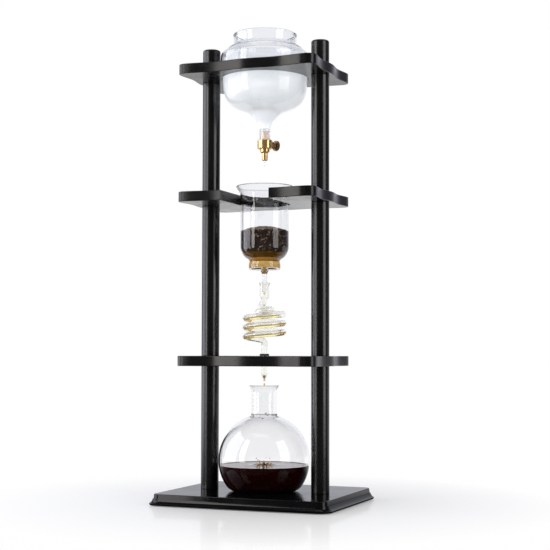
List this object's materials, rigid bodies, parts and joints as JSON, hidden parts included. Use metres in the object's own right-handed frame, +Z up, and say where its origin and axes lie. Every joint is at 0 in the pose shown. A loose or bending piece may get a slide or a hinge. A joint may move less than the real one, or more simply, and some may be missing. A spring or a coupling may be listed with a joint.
{
  "type": "cold drip coffee tower",
  "caption": "Tall black wooden frame with wavy shelves holding a glass water vessel with a needle drip valve, a coffee chamber, a glass spiral and a round receiving flask.",
  "frame": {"origin": "on the floor plane, under the centre of the base", "axes": "+Z up, -Y towards the front, where the middle shelf's slot opens, +X to the right seen from the front"},
  "size_m": [0.229, 0.184, 0.5735],
  "materials": {
    "black_wood": "black satin lacquer",
    "glass": "clear borosilicate",
    "brass": "polished, turned",
    "bronze": "dark bronze, fluted rim",
    "steel": "plain",
    "black_rubber": "matte",
    "silicone": "translucent matte",
    "white_plastic": "smooth",
    "ceramic": "porous, coffee stained"
  },
  "bodies": {
    "frame": {"base_board": "black_wood", "lower_shelf": "black_wood", "middle_shelf": "black_wood", "top_shelf": "black_wood", "lower_post_left": "black_wood", "lower_post_right": "black_wood", "middle_post_left": "black_wood", "middle_post_right": "black_wood", "upper_post_left": "black_wood", "upper_post_right": "black_wood", "post_cap_left": "black_wood", "post_cap_right": "black_wood", "base_feet": "black_rubber", "base_bolts": "steel", "shelf_studs": "steel", "shelf_grommet": "black_rubber"},
    "vessel": {"water_vessel": "glass", "valve_sleeve": "silicone", "valve_body": "brass", "valve_nozzle": "brass", "packing_ring": "white_plastic", "packing_nut": "brass"},
    "needle": {"needle_spindle": "steel"},
    "knob": {"valve_knob": "bronze", "knob_screw": "brass"},
    "chamber": {"coffee_chamber": "glass"},
    "filter": {"filter_disc": "ceramic", "filter_gasket": "silicone"},
    "spiral": {"spiral_tube": "glass"},
    "flask": {"receiving_flask": "glass"}
  },
  "joints": [
    {"name": "vessel_lift", "type": "slide", "parent": "frame", "child": "vessel", "axis": [0, 0, 1], "range_m": [0, 0.13]},
    {"name": "needle_feed", "type": "slide", "parent": "vessel", "child": "needle", "axis": [0.5446, 0.8387, 0], "range_m": [-0.00035, 0.00105]},
    {"name": "knob_turn", "type": "hinge", "parent": "needle", "child": "knob", "pos_m": [0, 0, 0.4366], "axis": [0.5446, 0.8387, 0], "range_deg": [-181, 541]},
    {"name": "chamber_lift", "type": "slide", "parent": "frame", "child": "chamber", "axis": [0, 0, 1], "range_m": [0, 0.03]},
    {"name": "filter_lift", "type": "slide", "parent": "chamber", "child": "filter", "axis": [0, 0, 1], "range_m": [0, 0.08]},
    {"name": "spiral_turn", "type": "hinge", "parent": "frame", "child": "spiral", "pos_m": [0, 0, 0.17], "axis": [0, 0, 1], "continuous": true},
    {"name": "flask_slide", "type": "slide", "parent": "frame", "child": "flask", "axis": [0, -1, 0], "range_m": [0, 0.16]}
  ],
  "couplings": [
    {"joint": "knob_turn", "follows": "needle_feed", "rad_per_m": 8975.9}
  ]
}
